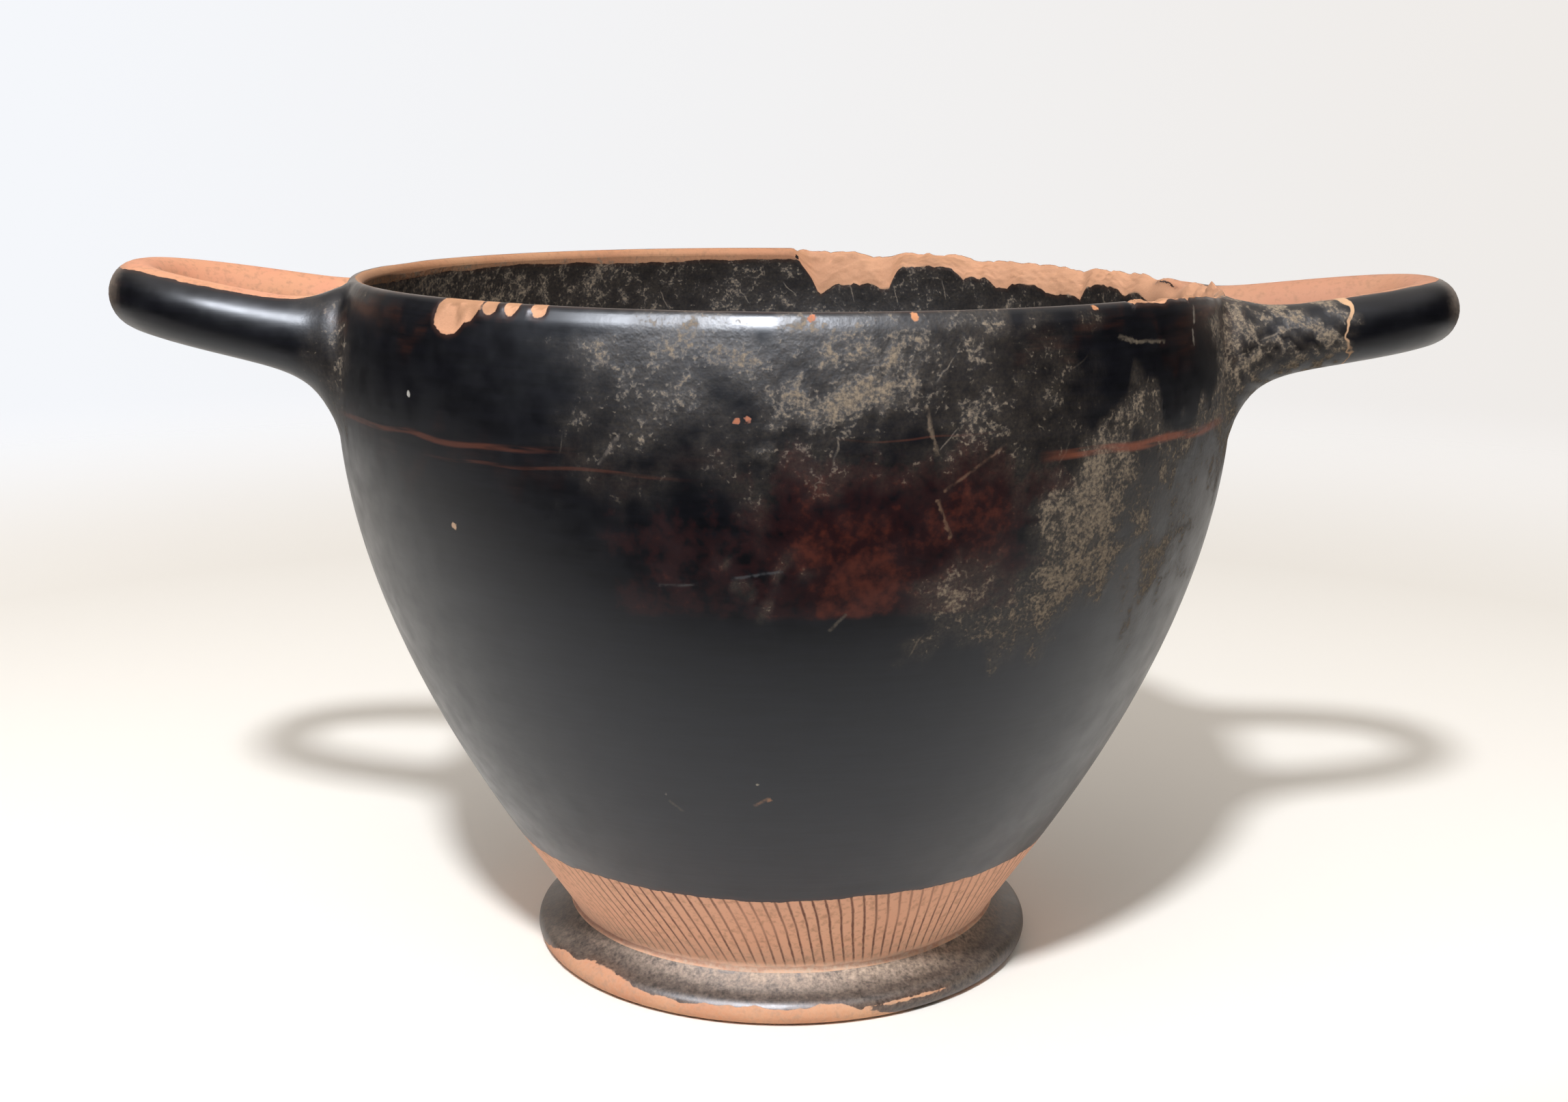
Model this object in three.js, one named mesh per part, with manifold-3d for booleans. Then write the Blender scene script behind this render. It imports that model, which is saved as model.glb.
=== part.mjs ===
// A skyphos: a deep wheel-thrown clay drinking cup on a ring foot, with two level loop handles
// pressed on at the lip. It was fired as one piece, so it is one solid. Its lip is spalled at the
// back and flaked at the front left, as it was found.
// Units are millimetres and +Z is up. The origin is on the ground, on the axis of the bowl.
// Handles lie along X. Azimuths are degrees anticlockwise from +X, seen from above.
import * as THREE from "three";
import { mergeVertices } from "three/addons/utils/BufferGeometryUtils.js";
import Module from "manifold-3d";

const wasm = await Module();
wasm.setup();

// Bowl
const HEIGHT = 104.6;
const RIM_RADIUS = 65;
const BELLY_RADIUS = 66.9;
const BELLY_HEIGHT = 88.1;
const STEM_RADIUS = 33.6;
const STEM_HEIGHT = 6.7;
const LIP_THICKNESS = 2.6;
const WALL_THICKNESS = 4.2;
const FLOOR_HEIGHT = 11.2;
// how far the wall's curve keeps the direction that it has at the stem, at the belly and to the lip
const STEM_PULL = { out: 4.3, up: 8 };
const BELLY_PULL = 37.5;
const LIP_PULL = 8;
// the wall stops short of the lip's top, which is rounded over by two more corners
const LIP_DROP = 1;
const LIP_CORNERS = [
  { out: 0.7, drop: 0.15 },
  { out: -0.5, drop: 0 },
];
// the inner wall follows the outer one down, then bends to the floor
const THINNING_START = 70;
const BEND_HEIGHT = 23.2;
const FLOOR_BEND = { cornerRadius: 32, cornerRise: 1.5, endRadius: 18, endRise: 0.3 };

// Ring foot
const FOOT_RADIUS = 39.1;
const FOOT_WIDEST_HEIGHT = 1.9;
const FOOT_SHOULDER_RADIUS = 37.2;
const FOOT_SHOULDER_HEIGHT = 4.1;
const FOOT_SHOULDER_PULL = 0.4;
const FOOT_UNDER_PULL = { inwards: 0.2, up: 0.3 };
const FOOT_NECK = { out: 0.9, down: 0.6 };
const REST_OUTER_RADIUS = 37.2;
const REST_INNER_RADIUS = 32.6;
const RECESS_RADIUS = 30.6;
const RECESS_HEIGHT = 5;
const RECESS_CENTRE_HEIGHT = 5.6;
const RECESS_CORNER = { inwards: 4, down: 1.4 };

// Handles
const HANDLE_HALF_SPAN = 17.8;
const HANDLE_SQUARENESS = 2.4;
const HANDLE_ROOT_X = 58;
const HANDLE_END_X = 97.2;
const HANDLE_HALF_WIDTH = 4.2;
const ROOT_FLARE_DOWN = 6.2;
const ROOT_FLARE_UP = 2.4;
const ROOT_FLARE_OUT = 2.2;
const ROOT_FLARE_REACH = 2.9;
const ROOT_DEPTH = 5.4;
const HANDLES = [
  // side is 1 for +X and -1 for -X; their rises differ, because each loop was bent by hand
  { side: 1, rootTop: 100.7, endTop: 104.7, rootBottom: 91.1, endBottom: 95.3 },
  { side: -1, rootTop: 101, endTop: 106.3, rootBottom: 90.5, endBottom: 96.7 },
];

// Where the back of the lip has spalled: the clay came off the inner face in a row of scars,
// each from one azimuth to the next and so deep below the lip
const SCARS = [
  { from: -7, to: 22, depth: 5.6 },
  { from: 22, to: 28.5, depth: 5 },
  { from: 28.5, to: 36, depth: 4.3 },
  { from: 36, to: 47, depth: 6.4 },
  { from: 47, to: 60, depth: 5.6 },
  { from: 60, to: 70.5, depth: 3 },
  { from: 70.5, to: 87, depth: 7.4 },
];
// a scar is a little deeper than its depth in its middle, and shallower at its ends
const SCAR_MIDDLE_GAIN = 0.06;
const SCAR_END_FALL = 0.22;
const SCAR_STEP = 1.5;
const SCAR_END_RAMP = 4;
const SCAR_CLEARANCE = 0.3;
// the wedge's edges lie just inside the inner face of the lip and just outside its outer face
const SCAR_INNER_MARGIN = 0.9;
const SCAR_OUTER_MARGIN = 0.1;
// the outer edge lost more on the right than on the left, and the change lies between two azimuths
const TOP_LOSS_RIGHT = 1.9;
const TOP_LOSS_LEFT = 0.5;
const TOP_LOSS_CHANGE = { from: 45, to: 80 };
const TOP_WAVES = [
  { size: 0.18, perDegree: 1.9 },
  { size: 0.15, perDegree: 0.83 },
];

// Flakes knocked off the outside of the lip at the front left
const FLAKES = [
  { at: 229.6, height: 103, radius: 2.7 },
  { at: 232.6, height: 104.4, radius: 1.7 },
  { at: 235.4, height: 104.6, radius: 1.2 },
  { at: 238.5, height: 104.8, radius: 1.3 },
  { at: 242.2, height: 104.9, radius: 1.2 },
];
const FLAKE_DEPTH_SHARE = 0.25;
// the wall at the flakes stands this far outside the rim
const FLAKE_WALL_OFFSET = 0.4;

// Facets
const LATHE_SEGMENTS = 88;
const WALL_STEPS = 10;
const LIP_STEPS = 4;
const FLOOR_STEPS = 4;
const FOOT_STEPS = 2;
const ROOT_STEPS = 7;
const ROOT_RUN = 12.5;
const ROOT_CROWDING = 1.2;
const BEND_STEPS = 9;
const HANDLE_SIDES = 12;
const FLAKE_SEGMENTS = 8;

// Vertices closer than this are one
const WELD_DISTANCE = 1e-4;
// How far a cutting shape runs past what it cuts
const CUT_MARGIN = 4;

const radians = THREE.MathUtils.degToRad;
const lerp = THREE.MathUtils.lerp;
const smoothstep = THREE.MathUtils.smoothstep;
const point = (r, z) => new THREE.Vector2(r, z);

// A geometry as a solid. Only positions count, and vertices at one place become one.
function solid(geometry) {
  const bare = new THREE.BufferGeometry();
  bare.setAttribute("position", geometry.getAttribute("position"));
  bare.setIndex(geometry.index);
  const merged = mergeVertices(bare, WELD_DISTANCE);
  return new wasm.Manifold(
    new wasm.Mesh({
      numProp: 3,
      vertProperties: new Float32Array(merged.attributes.position.array),
      triVerts: new Uint32Array(merged.index.array),
    }),
  );
}

// A lathe turns its profile about Y, so this stands it up on Z.
function turned(profile) {
  return solid(new THREE.LatheGeometry(profile, LATHE_SEGMENTS).rotateX(Math.PI / 2));
}

function geometryOf(manifold) {
  const mesh = manifold.getMesh();
  const geometry = new THREE.BufferGeometry();
  geometry.setAttribute("position", new THREE.BufferAttribute(mesh.vertProperties, 3));
  geometry.setIndex(new THREE.BufferAttribute(mesh.triVerts, 1));
  geometry.computeVertexNormals();
  return geometry;
}

// The outer wall swells from the stem to the belly, then turns in to the lip.
function outerWall() {
  const swell = new THREE.CubicBezierCurve(
    point(STEM_RADIUS, STEM_HEIGHT),
    point(STEM_RADIUS + STEM_PULL.out, STEM_HEIGHT + STEM_PULL.up),
    point(BELLY_RADIUS, BELLY_HEIGHT - BELLY_PULL),
    point(BELLY_RADIUS, BELLY_HEIGHT),
  );
  const turnIn = new THREE.QuadraticBezierCurve(
    point(BELLY_RADIUS, BELLY_HEIGHT),
    point(BELLY_RADIUS, BELLY_HEIGHT + LIP_PULL),
    point(RIM_RADIUS, HEIGHT - LIP_DROP),
  );
  return [...swell.getPoints(WALL_STEPS), ...turnIn.getPoints(LIP_STEPS).slice(1)];
}

// The rounded top of the lip and the inner wall, which keeps the wall's thickness down to the floor.
function innerWall() {
  const lipRadius = RIM_RADIUS - LIP_THICKNESS / 2;
  const lip = LIP_CORNERS.map(({ out, drop }) => point(lipRadius + out, HEIGHT - drop));
  const wall = outerWall()
    .reverse()
    .filter((p) => p.y > BEND_HEIGHT)
    .map((p) => {
      const thinning = smoothstep(p.y, THINNING_START, HEIGHT);
      return point(p.x - lerp(WALL_THICKNESS, LIP_THICKNESS, thinning), p.y);
    });
  const bend = new THREE.QuadraticBezierCurve(
    wall[wall.length - 1],
    point(FLOOR_BEND.cornerRadius, FLOOR_HEIGHT + FLOOR_BEND.cornerRise),
    point(FLOOR_BEND.endRadius, FLOOR_HEIGHT + FLOOR_BEND.endRise),
  );
  return [...lip, ...wall, ...bend.getPoints(FLOOR_STEPS).slice(1), point(0, FLOOR_HEIGHT)];
}

// The foot from the middle of its recess, over the ring it rests on, to its neck under the bowl.
function footProfile() {
  const under = new THREE.QuadraticBezierCurve(
    point(REST_OUTER_RADIUS, 0),
    point(FOOT_RADIUS - FOOT_UNDER_PULL.inwards, FOOT_UNDER_PULL.up),
    point(FOOT_RADIUS, FOOT_WIDEST_HEIGHT),
  );
  const over = new THREE.QuadraticBezierCurve(
    point(FOOT_RADIUS, FOOT_WIDEST_HEIGHT),
    point(FOOT_RADIUS, FOOT_SHOULDER_HEIGHT - FOOT_SHOULDER_PULL),
    point(FOOT_SHOULDER_RADIUS, FOOT_SHOULDER_HEIGHT),
  );
  return [
    point(0, RECESS_CENTRE_HEIGHT),
    point(RECESS_RADIUS - RECESS_CORNER.inwards, RECESS_HEIGHT),
    point(RECESS_RADIUS, RECESS_HEIGHT - RECESS_CORNER.down),
    point(REST_INNER_RADIUS, 0),
    ...under.getPoints(FOOT_STEPS),
    ...over.getPoints(FOOT_STEPS).slice(1),
    point(STEM_RADIUS + FOOT_NECK.out, STEM_HEIGHT - FOOT_NECK.down),
  ];
}

function bowl() {
  return turned([...footProfile(), ...outerWall(), ...innerWall()]);
}

// Everything inside the middle of the wall, up past the handles. A handle's root is cut back to
// it, so it ends in the clay.
function insideOfWall() {
  const above = HEIGHT + CUT_MARGIN;
  const side = outerWall().map((p) => point(p.x - LIP_THICKNESS / 2, p.y));
  const rim = side[side.length - 1];
  return turned([point(0, STEM_HEIGHT), ...side, point(rim.x, above), point(0, above)]);
}

// Skins a row of rings with the same number of points, and closes both ends with a fan.
function skinned(rings) {
  const sides = rings[0].length;
  const centre = (ring) => ring.reduce((sum, p) => sum.add(p), new THREE.Vector3()).divideScalar(sides);
  const last = rings.length - 1;
  const points = [...rings.flat(), centre(rings[0]), centre(rings[last])];
  const index = [];
  for (let j = 0; j < sides; j++) {
    const next = (j + 1) % sides;
    for (let i = 0; i < last; i++) {
      const a = i * sides;
      const b = a + sides;
      index.push(a + j, b + j, a + next, b + j, b + next, a + next);
    }
    index.push(points.length - 2, j, next);
    index.push(points.length - 1, last * sides + next, last * sides + j);
  }
  return solid(new THREE.BufferGeometry().setFromPoints(points).setIndex(index));
}

// Where a handle's rings stand, as angles of its bend from the root at 90 to the outer end at 0.
// They are close together at the root, where its section changes.
function bendAngles(wallX, reach) {
  const bendOf = (x) => Math.acos(((x - HANDLE_ROOT_X) / reach) ** (HANDLE_SQUARENESS / 2));
  const bends = [];
  for (let i = 0; i <= ROOT_STEPS; i++) {
    const run = ROOT_RUN * (i / ROOT_STEPS) ** ROOT_CROWDING;
    bends.push(bendOf(wallX - ROOT_DEPTH + run));
  }
  const last = bends[ROOT_STEPS];
  for (let i = 1; i <= BEND_STEPS; i++) {
    bends.push(last * (1 - i / BEND_STEPS));
  }
  return bends;
}

// A handle is a roll of clay bent into half of a rounded rectangle, level across and rising
// outwards. It flares where it was smeared on to the wall.
function handle({ side, rootTop, endTop, rootBottom, endBottom }) {
  const wallX = Math.sqrt(BELLY_RADIUS ** 2 - HANDLE_HALF_SPAN ** 2);
  const reach = HANDLE_END_X - HANDLE_ROOT_X;
  const bends = bendAngles(wallX, reach);
  const turns = [...bends.map((bend) => -bend), ...bends.slice(0, -1).reverse()];
  const rings = turns.map((turn) => {
    const along = Math.cos(turn) ** (2 / HANDLE_SQUARENESS);
    const across = Math.sign(turn) * Math.abs(Math.sin(turn)) ** (2 / HANDLE_SQUARENESS);
    const x = HANDLE_ROOT_X + reach * along;
    // straight out from the bend, seen from above
    const normal = new THREE.Vector2(
      along ** (HANDLE_SQUARENESS - 1) / reach,
      (Math.sign(turn) * Math.abs(across) ** (HANDLE_SQUARENESS - 1)) / HANDLE_HALF_SPAN,
    ).normalize();
    // the flare grows no more a millimetre inside the wall
    const flare = Math.exp(-Math.max(x - wallX, -1) / ROOT_FLARE_REACH);
    const out = Math.max(0, (x - wallX) / (HANDLE_END_X - wallX));
    const top = lerp(rootTop, endTop, out) + ROOT_FLARE_UP * flare;
    const bottom = lerp(rootBottom, endBottom, out) - ROOT_FLARE_DOWN * flare;
    const halfWidth = HANDLE_HALF_WIDTH + ROOT_FLARE_OUT * flare;
    const ring = [];
    for (let k = 0; k < HANDLE_SIDES; k++) {
      const a = (2 * Math.PI * k) / HANDLE_SIDES;
      const sideways = halfWidth * Math.cos(a);
      ring.push(
        new THREE.Vector3(
          side * (x + normal.x * sideways),
          side * (HANDLE_HALF_SPAN * across + normal.y * sideways),
          (top + bottom) / 2 + ((top - bottom) / 2) * Math.sin(a),
        ),
      );
    }
    return ring;
  });
  return skinned(rings);
}

// How far below the lip the scars reach at an azimuth. Each is deepest in its middle.
function scarDepth(azimuth) {
  const scar = SCARS.find((one) => azimuth <= one.to) ?? SCARS[SCARS.length - 1];
  const middle = (scar.from + scar.to) / 2;
  const off = (azimuth - middle) / (scar.to - middle);
  return scar.depth * (1 + SCAR_MIDDLE_GAIN - SCAR_END_FALL * off ** 2);
}

// How much of the lip's height the outer edge lost at an azimuth.
function topLoss(azimuth) {
  const leftwards = smoothstep(azimuth, TOP_LOSS_CHANGE.from, TOP_LOSS_CHANGE.to);
  const loss = lerp(TOP_LOSS_RIGHT, TOP_LOSS_LEFT, leftwards);
  return TOP_WAVES.reduce((sum, wave) => sum + wave.size * Math.sin(azimuth * wave.perDegree), loss);
}

// The clay that came off the back of the lip: a wedge that takes a little from the top of the
// outer face and more from the inner one.
function spall() {
  const from = SCARS[0].from;
  const to = SCARS[SCARS.length - 1].to;
  const above = HEIGHT + CUT_MARGIN;
  const inside = RIM_RADIUS - LIP_THICKNESS + SCAR_INNER_MARGIN;
  const outside = RIM_RADIUS + SCAR_OUTER_MARGIN;
  const rings = [];
  for (let azimuth = from; azimuth <= to; azimuth += SCAR_STEP) {
    const full = smoothstep(Math.min(azimuth - from, to - azimuth), 0, SCAR_END_RAMP);
    const clear = (1 - full) * SCAR_CLEARANCE;
    const topZ = HEIGHT + clear - full * topLoss(azimuth);
    const innerZ = HEIGHT + clear - full * scarDepth(azimuth);
    const section = [
      point(inside - CUT_MARGIN, innerZ),
      point(inside, innerZ),
      point(outside, topZ),
      point(outside + CUT_MARGIN, topZ),
      point(outside + CUT_MARGIN, above),
      point(inside - CUT_MARGIN, above),
    ];
    const a = radians(azimuth);
    rings.push(section.map((p) => new THREE.Vector3(p.x * Math.cos(a), p.x * Math.sin(a), p.y)));
  }
  return skinned(rings);
}

// A shallow shell-shaped flake off the outer face of the lip.
function flake({ at, height, radius }) {
  const depth = radius * FLAKE_DEPTH_SHARE;
  const ball = radius / (2 * FLAKE_DEPTH_SHARE) + depth / 2;
  const away = RIM_RADIUS + FLAKE_WALL_OFFSET + ball - depth;
  const a = radians(at);
  const shape = new THREE.SphereGeometry(ball, 2 * FLAKE_SEGMENTS, FLAKE_SEGMENTS);
  shape.translate(away * Math.cos(a), away * Math.sin(a), height);
  return solid(shape);
}

function skyphos() {
  let clay = bowl();
  for (const loop of HANDLES) {
    clay = clay.add(handle(loop).subtract(insideOfWall()));
  }
  clay = clay.subtract(spall());
  for (const scar of FLAKES) {
    clay = clay.subtract(flake(scar));
  }
  const gloss = new THREE.MeshStandardMaterial({ color: 0x15171a, roughness: 0.28, metalness: 0 });
  const mesh = new THREE.Mesh(geometryOf(clay), gloss);
  mesh.name = "skyphos";
  return mesh;
}

const part = new THREE.Group();
part.add(skyphos());

export default part;
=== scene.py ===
# %% [markdown]
# # A black-gloss skyphos
#
# This lesson dresses a deep Greek drinking cup. The cup was thrown on a wheel, dipped and brushed
# with a fine iron-rich slip, and fired so that the slip turned into a glassy black skin while the
# bare clay stayed orange. Two thousand years in the ground then chipped its lip, rubbed its foot
# and left lime on it.
#
# The size and the place of everything come from an imported model, which is loaded first and kept,
# hidden, beside the dressed cup.

# %% The frame
import math

import bpy
import numpy as np
from mathutils import Matrix, Vector


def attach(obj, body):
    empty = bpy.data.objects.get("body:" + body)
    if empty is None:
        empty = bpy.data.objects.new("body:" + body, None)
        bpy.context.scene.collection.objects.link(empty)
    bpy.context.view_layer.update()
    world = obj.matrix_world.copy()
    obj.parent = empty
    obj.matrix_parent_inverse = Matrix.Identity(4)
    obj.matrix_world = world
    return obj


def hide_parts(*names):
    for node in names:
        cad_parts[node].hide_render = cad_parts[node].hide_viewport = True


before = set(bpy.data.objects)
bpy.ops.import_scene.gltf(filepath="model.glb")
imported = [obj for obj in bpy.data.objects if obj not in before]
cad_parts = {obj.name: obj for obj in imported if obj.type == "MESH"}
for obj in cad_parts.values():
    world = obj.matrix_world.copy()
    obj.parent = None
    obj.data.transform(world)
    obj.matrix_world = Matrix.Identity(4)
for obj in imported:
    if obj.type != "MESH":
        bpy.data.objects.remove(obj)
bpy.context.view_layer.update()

# %% [markdown]
# ## Two small helpers
#
# The lesson thinks in millimetres, as a potter measures, and Blender is given metres at the last
# moment. Colours are written as the hex values that a colour picker shows. A shader wants linear
# light, so one function turns them.

# %% Units and colours
MM = 0.001


def linear(hex_colour):
    """An sRGB hex colour as the linear RGBA that a shader socket takes."""
    srgb = np.array([int(hex_colour[i : i + 2], 16) for i in (1, 3, 5)]) / 255
    rgb = np.where(srgb <= 0.04045, srgb / 12.92, ((srgb + 0.055) / 1.055) ** 2.4)
    return (*rgb, 1.0)


def smoothstep(low, high, x):
    """0 below low, 1 above high and an S-curve between them."""
    t = np.clip((x - low) / (high - low), 0, 1)
    return t * t * (3 - 2 * t)


def lerp(a, b, t):
    return a + (b - a) * t


# %% [markdown]
# ## The camera
#
# The photographer stood close, a little above the lip, with the lens at arm's length. A near
# camera matters: it makes the front of the lip dip and shows the inside of the far wall. The
# place, the pitch and the slight roll were worked out from the ellipses of the lip and the foot.

# %% The camera
CAMERA_PLACE = (0.12, -291.1, 125.55)
CAMERA_PITCH = 12.41
CAMERA_ROLL = 0.31
LENS = 43.8

camera = bpy.data.objects.new("camera", bpy.data.cameras.new("camera"))
bpy.context.scene.collection.objects.link(camera)
bpy.context.scene.camera = camera
camera.data.lens = LENS
camera.data.sensor_width = 36
camera.data.clip_start = 0.01
camera.matrix_world = (
    Matrix.Translation([MM * x for x in CAMERA_PLACE])
    @ Matrix.Rotation(math.radians(90 - CAMERA_PITCH), 4, "X")
    @ Matrix.Rotation(math.radians(CAMERA_ROLL), 4, "Z")
)
bpy.context.scene.view_settings.view_transform = "Standard"
print("camera:", LENS, "mm lens,", round(math.hypot(*CAMERA_PLACE)), "mm from the foot")

# %% [markdown]
# ## The potter's profile
#
# On the wheel the cup is one curve turned round an axis. The wall swells from a narrow stem to its
# widest place just under the lip and then turns in a little. Bézier curves give that in a few
# points, each of them a real radius and height.
#
# The outer wall is kept as a fine polyline, so that its radius can be read at any height. The
# inner wall follows it at the wall's thickness, which falls from the belly to the lip.

# %% The curves of the wall
HEIGHT, WALL_TOP = 104.6, 103.6
RIM_RADIUS = 65
BELLY_RADIUS, BELLY_HEIGHT = 66.9, 88.1
STEM_RADIUS, STEM_HEIGHT = 33.6, 6.7
WALL_THICKNESS, LIP_THICKNESS = 4.2, 2.6
FLOOR_HEIGHT = 11.2
BEND_HEIGHT = 24
STEM, BELLY = (STEM_RADIUS, STEM_HEIGHT), (BELLY_RADIUS, BELLY_HEIGHT)


def bezier(*points, steps):
    """steps + 1 points along a Bézier curve of any degree, by de Casteljau's halving."""
    t = np.linspace(0, 1, steps + 1)[:, None]
    level = [np.array(p, float) for p in points]
    while len(level) > 1:
        level = [lerp(a, b, t) for a, b in zip(level, level[1:])]
    return level[0]


wall = np.vstack([
    bezier(STEM, (37.9, 14.7), (BELLY[0], 50.6), BELLY, steps=300),
    bezier(BELLY, (BELLY[0], 96.1), (RIM_RADIUS, WALL_TOP), steps=60)[1:],
])
LIP_ROUND = LIP_THICKNESS / 2
LIP_CENTRE = np.array([RIM_RADIUS - LIP_ROUND, HEIGHT - LIP_ROUND])
LIP_SHOULDER = 2.3  # the outside rounds in from this far below the top


def lip_bulge(z, drop):
    """How far the lip stands out from its middle, if its round begins this drop below the top."""
    up = np.clip((z - HEIGHT + drop) / drop, 0, 1)
    return LIP_ROUND * np.sqrt(1 - up**2)


def outer_radius(z):
    body = np.interp(z, wall[:, 1], wall[:, 0])
    return body - LIP_ROUND + lip_bulge(z, LIP_SHOULDER)


def inner_radius(z):
    body = np.interp(z, wall[:, 1], wall[:, 0])
    thickness = lerp(WALL_THICKNESS, LIP_THICKNESS, smoothstep(70, HEIGHT, z))
    return np.where(z > LIP_CENTRE[1], LIP_CENTRE[0] - lip_bulge(z, LIP_ROUND), body - thickness)


print("radius at half height:", round(float(outer_radius(HEIGHT / 2)), 1), "mm")

# %% [markdown]
# ## Columns and an uneven line
#
# The whole bowl is one grid of columns round the axis and rows along the profile. Azimuths are in
# degrees, anticlockwise from the right handle, so the back is 90 and the front 270. The columns
# are close where the lip is broken or flaked, and wider where it is whole.
#
# A hand-made or broken edge is never even. `uneven` adds sines of falling size whose waves fit a
# whole number of times round the cup, so the line closes on itself.

# %% Columns
azimuths = np.concatenate([
    np.arange(-50, 90, 0.5),
    np.arange(90, 224, 1.1),
    np.arange(224, 246, 0.45),
    np.arange(246, 310, 0.9),
])


def uneven(azimuth, coarsest, finest, seed):
    """A ragged closed line of unit size, with waves from the coarsest to the finest, in degrees."""
    turns = np.unique(np.round(360 / np.geomspace(coarsest, finest, 12)))
    phases = np.random.default_rng(seed).uniform(0, 2 * np.pi, len(turns))
    sizes = turns**-0.5 / np.sqrt(np.sum(1 / turns) / 2)
    angle = np.radians(np.asarray(azimuth, float))[..., None]
    return np.sum(sizes * np.sin(angle * turns + phases), axis=-1)


print(len(azimuths), "columns")

# %% [markdown]
# ## The broken lip
#
# At the back, from the right handle to the middle, the lip was knocked from inside. The clay came
# away from the inner face in shell-shaped scars, and the black skin was left standing between them
# in low humps. The outer edge lost only a millimetre or two. The scar thins out along the front
# right.
#
# So two lines say it all: how much the top lost, and how deep below the lip the black begins on
# the inside. Both are pairs of an azimuth and a depth.

# %% Where the lip is broken
BREAK_FROM, BREAK_TO = -47, 87.6
SCAR_FLOOR = (
    (-47, 0.5), (-38, 1.1), (-28, 2.2), (-8, 5.4), (20, 5.8), (38, 6.6), (52, 6.1), (73, 7.3),
    (84.2, 8.2), (87.4, 2.4), (90, 2.0),
)
HUMPS = (
    # middle, half width, depth, squareness
    (78.1, 5.9, 6.4, 2.2),
    (65.7, 6.9, 2.8, 5.0),
    (56.9, 3.3, 4.4, 3.0),
    (48.0, 3.7, 5.0, 2.2),
    (31.6, 5.2, 4.1, 2.6),
    (24.0, 3.1, 4.6, 2.0),
    (10.0, 8.5, 4.7, 3.0),
)
TOP_LOSS = (
    (-47, 0.1), (-44, 0.35), (-39.6, 0.6), (-38.7, 0.3), (-34.6, 0.35), (-34, 0.75), (-32.8, 0.35),
    (-25, 1.0), (-17, 1.55), (-9, 1.7), (-3, 1.6), (3, 2.0),
    (30, 1.8), (44, 1.7), (57, 1.3), (63, 0.7), (84, 0.6), (93, 0.25),
)
TOP_CHIPS = (
    # middle, half width, depth
    (74.5, 4.2, 0.75), (56.0, 3.0, 0.3), (39.0, 3.2, 0.5), (13.0, 3.0, 0.35), (0.5, 2.0, -0.9),
)
TOP_ROUGHNESS = ((-47, 0.05), (-12, 0.08), (0, 0.13))
RAGGED_LINE = 0.16


def between(pairs, x):
    places, values = zip(*pairs)
    return np.interp(x, places, values)


def black_depth(azimuth):
    """How deep below the lip's height the black skin begins on the inside."""
    floor = between(SCAR_FLOOR, azimuth)
    depth = floor
    for middle, half_width, top, squareness in HUMPS:
        off = np.minimum(np.abs(azimuth - middle) / half_width, 1)
        depth = np.minimum(depth, top + (floor - top) * off**squareness)
    return depth + RAGGED_LINE * uneven(azimuth, 6, 1.2, 3)


def top_loss(azimuth):
    """How much of the lip's height is gone from the outer edge."""
    loss = between(TOP_LOSS, azimuth)
    for middle, half_width, depth in TOP_CHIPS:
        loss = loss + depth * np.clip(1 - ((azimuth - middle) / half_width) ** 2, 0, 1)
    rough = between(TOP_ROUGHNESS, azimuth)
    return np.clip(loss + rough * uneven(azimuth, 9, 1.2, 4), 0.05, None)


broken = smoothstep(BREAK_FROM, BREAK_FROM + 1.5, azimuths)
broken = broken * smoothstep(-BREAK_TO - 1.2, -BREAK_TO, -azimuths)
mean_loss = float(top_loss(azimuths)[broken > 0.5].mean())
print("the break takes", round(mean_loss, 1), "mm off the top on average")

# %% [markdown]
# ## Rows along the profile
#
# The rows run from the middle of the recess under the foot, out over the resting ring, up the
# outer wall, across the lip and down the inner wall to the floor. Most rows are true circles.
# Between two fixed heights near the lip they slide up or down in each column, so that one row
# always lies on the edge of a scar. That gives the break a crisp edge with few faces.
#
# Beside its place, each vertex carries `bare`: how many millimetres it lies inside bare clay, or
# below nought, how far outside. The shader cuts at nought, so a painted edge is sharper than the
# mesh.

# %% The foot and the recess
FOOT_RADIUS, FOOT_WIDEST_HEIGHT = 39.1, 1.9
SHOULDER_RADIUS, SHOULDER_HEIGHT = 37.2, 4.1
REST_OUTER, REST_INNER = 37.2, 32.6
RECESS = (
    (7, 5.55), (14, 5.45), (21, 5.25), (26.6, 5.0), (29.2, 4.5), (30.6, 3.6), (31.4, 2.1),
    (32.0, 0.8), (REST_INNER, 0.1),
)
WIDEST, SHOULDER = (FOOT_RADIUS, FOOT_WIDEST_HEIGHT), (SHOULDER_RADIUS, SHOULDER_HEIGHT)
NECK = (STEM_RADIUS + 0.5, STEM_HEIGHT - 0.55)

foot = np.vstack([
    RECESS,
    [(REST_INNER + 0.3, 0), (35.4, 0), (REST_OUTER - 0.2, 0)],
    bezier((REST_OUTER, 0.02), (FOOT_RADIUS - 0.2, 0.3), WIDEST, steps=6),
    bezier(WIDEST, (FOOT_RADIUS, 3.6), SHOULDER, steps=5)[1:],
    bezier(SHOULDER, (35.6, 4.9), NECK, steps=4)[1:],
])

# %% The wall and the lip
SLIDE_OUT, SLIDE_IN = 98.0, 92.0
CLAY_ZONE_TOP = 21.2
LIP_BAND = 102.4
SCOOP_DEPTH = 0.34
GRIT_COARSE, GRIT_FINE = 0.07, 0.05


def circles(profile):
    """A profile as rows of true circles: rows, then radius and height, then columns."""
    return np.repeat(np.asarray(profile, float)[:, :, None], len(azimuths), axis=2)


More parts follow.
